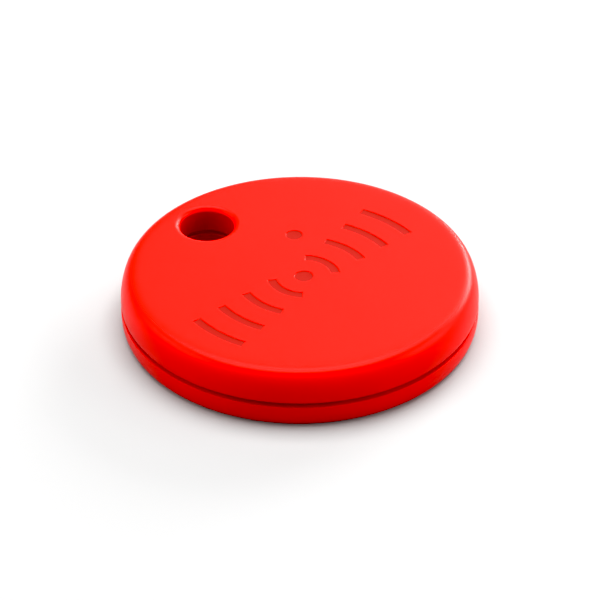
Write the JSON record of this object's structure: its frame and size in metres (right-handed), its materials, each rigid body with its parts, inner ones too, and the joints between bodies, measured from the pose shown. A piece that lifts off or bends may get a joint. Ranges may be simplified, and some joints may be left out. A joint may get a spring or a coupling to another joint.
{
  "type": "bluetooth tracker tag",
  "caption": "Round keyring tracker tag: two snap-together shells with a keyring hole, a pressable face over a buzzer and switch, and a replaceable coin cell.",
  "frame": {"origin": "centre of the tag, on the resting face of its back cover", "axes": "+Z out of the pressed face, +Y from the centre to the keyring hole"},
  "size_m": [0.038, 0.038, 0.0064],
  "materials": {
    "red_shell": "fine satin moulded plastic",
    "seal_rubber": "soft silicone",
    "foam": "closed-cell foam",
    "frame_plastic": "natural moulded plastic",
    "board": "green solder mask on glass laminate",
    "chip_resin": "moulded black resin",
    "plated_metal": "tin or nickel plated",
    "antenna_ceramic": "white fired ceramic",
    "ferrite": "sintered ferrite",
    "copper_wire": "enamelled copper",
    "tantalum_resin": "moulded yellow resin",
    "capacitor_ceramic": "fired tan ceramic",
    "contact_spring": "gold-flashed spring bronze",
    "spring_steel": "stamped stainless dome",
    "brass_plate": "thin rolled brass",
    "silvered_ceramic": "printed silver on piezo ceramic",
    "glue": "cured adhesive ring",
    "cell_steel": "nickel-plated steel",
    "cell_gasket": "nylon gasket",
    "cathode_mix": "pressed powder",
    "separator_felt": "thin felt",
    "lithium": "rolled lithium foil"
  },
  "bodies": {
    "back": {"back_cover": "red_shell", "perimeter_seal": "seal_rubber", "battery_pad": "foam"},
    "core": {"inner_frame": "frame_plastic", "circuit_board": "board", "radio_chip": "chip_resin", "rf_crystal": "plated_metal", "clock_crystal": "plated_metal", "chip_antenna": "antenna_ceramic", "buzzer_driver": "chip_resin", "driver_leads": "plated_metal", "coil_core": "ferrite", "coil_winding": "copper_wire", "bulk_capacitor": "tantalum_resin", "ceramic_capacitors": "capacitor_ceramic", "resistors": "chip_resin", "negative_contact": "contact_spring", "positive_clips": "plated_metal", "buzzer_springs": "contact_spring", "switch_base": "chip_resin", "switch_cover": "plated_metal", "switch_dome": "spring_steel"},
    "plunger": {"switch_plunger": "frame_plastic"},
    "front": {"front_shell": "red_shell", "eyelet_seal": "seal_rubber", "buzzer_plate": "brass_plate", "buzzer_ceramic": "silvered_ceramic", "buzzer_glue": "glue"},
    "cell": {"battery_can": "cell_steel", "battery_gasket": "cell_gasket", "battery_cap": "cell_steel", "battery_cathode": "cathode_mix", "battery_separator": "separator_felt", "battery_anode": "lithium"}
  },
  "joints": [
    {"name": "case_open", "type": "slide", "parent": "back", "child": "core", "axis": [0, 0, 1], "range_m": [0, 0.018]},
    {"name": "front_press", "type": "slide", "parent": "core", "child": "front", "axis": [0, 0, 1], "range_m": [-0.00015, 0], "stiffness_N_per_m": 4000, "deforming": ["switch_dome", "buzzer_springs"]},
    {"name": "plunger_press", "type": "slide", "parent": "core", "child": "plunger", "axis": [0, 0, 1], "range_m": [-0.00015, 0]},
    {"name": "battery_out", "type": "slide", "parent": "core", "child": "cell", "axis": [0, 0, 1], "range_m": [-0.009, 0]}
  ],
  "couplings": [
    {"joint": "plunger_press", "follows": "front_press", "ratio": 1},
    {"joint": "battery_out", "follows": "case_open", "ratio": -0.5}
  ]
}
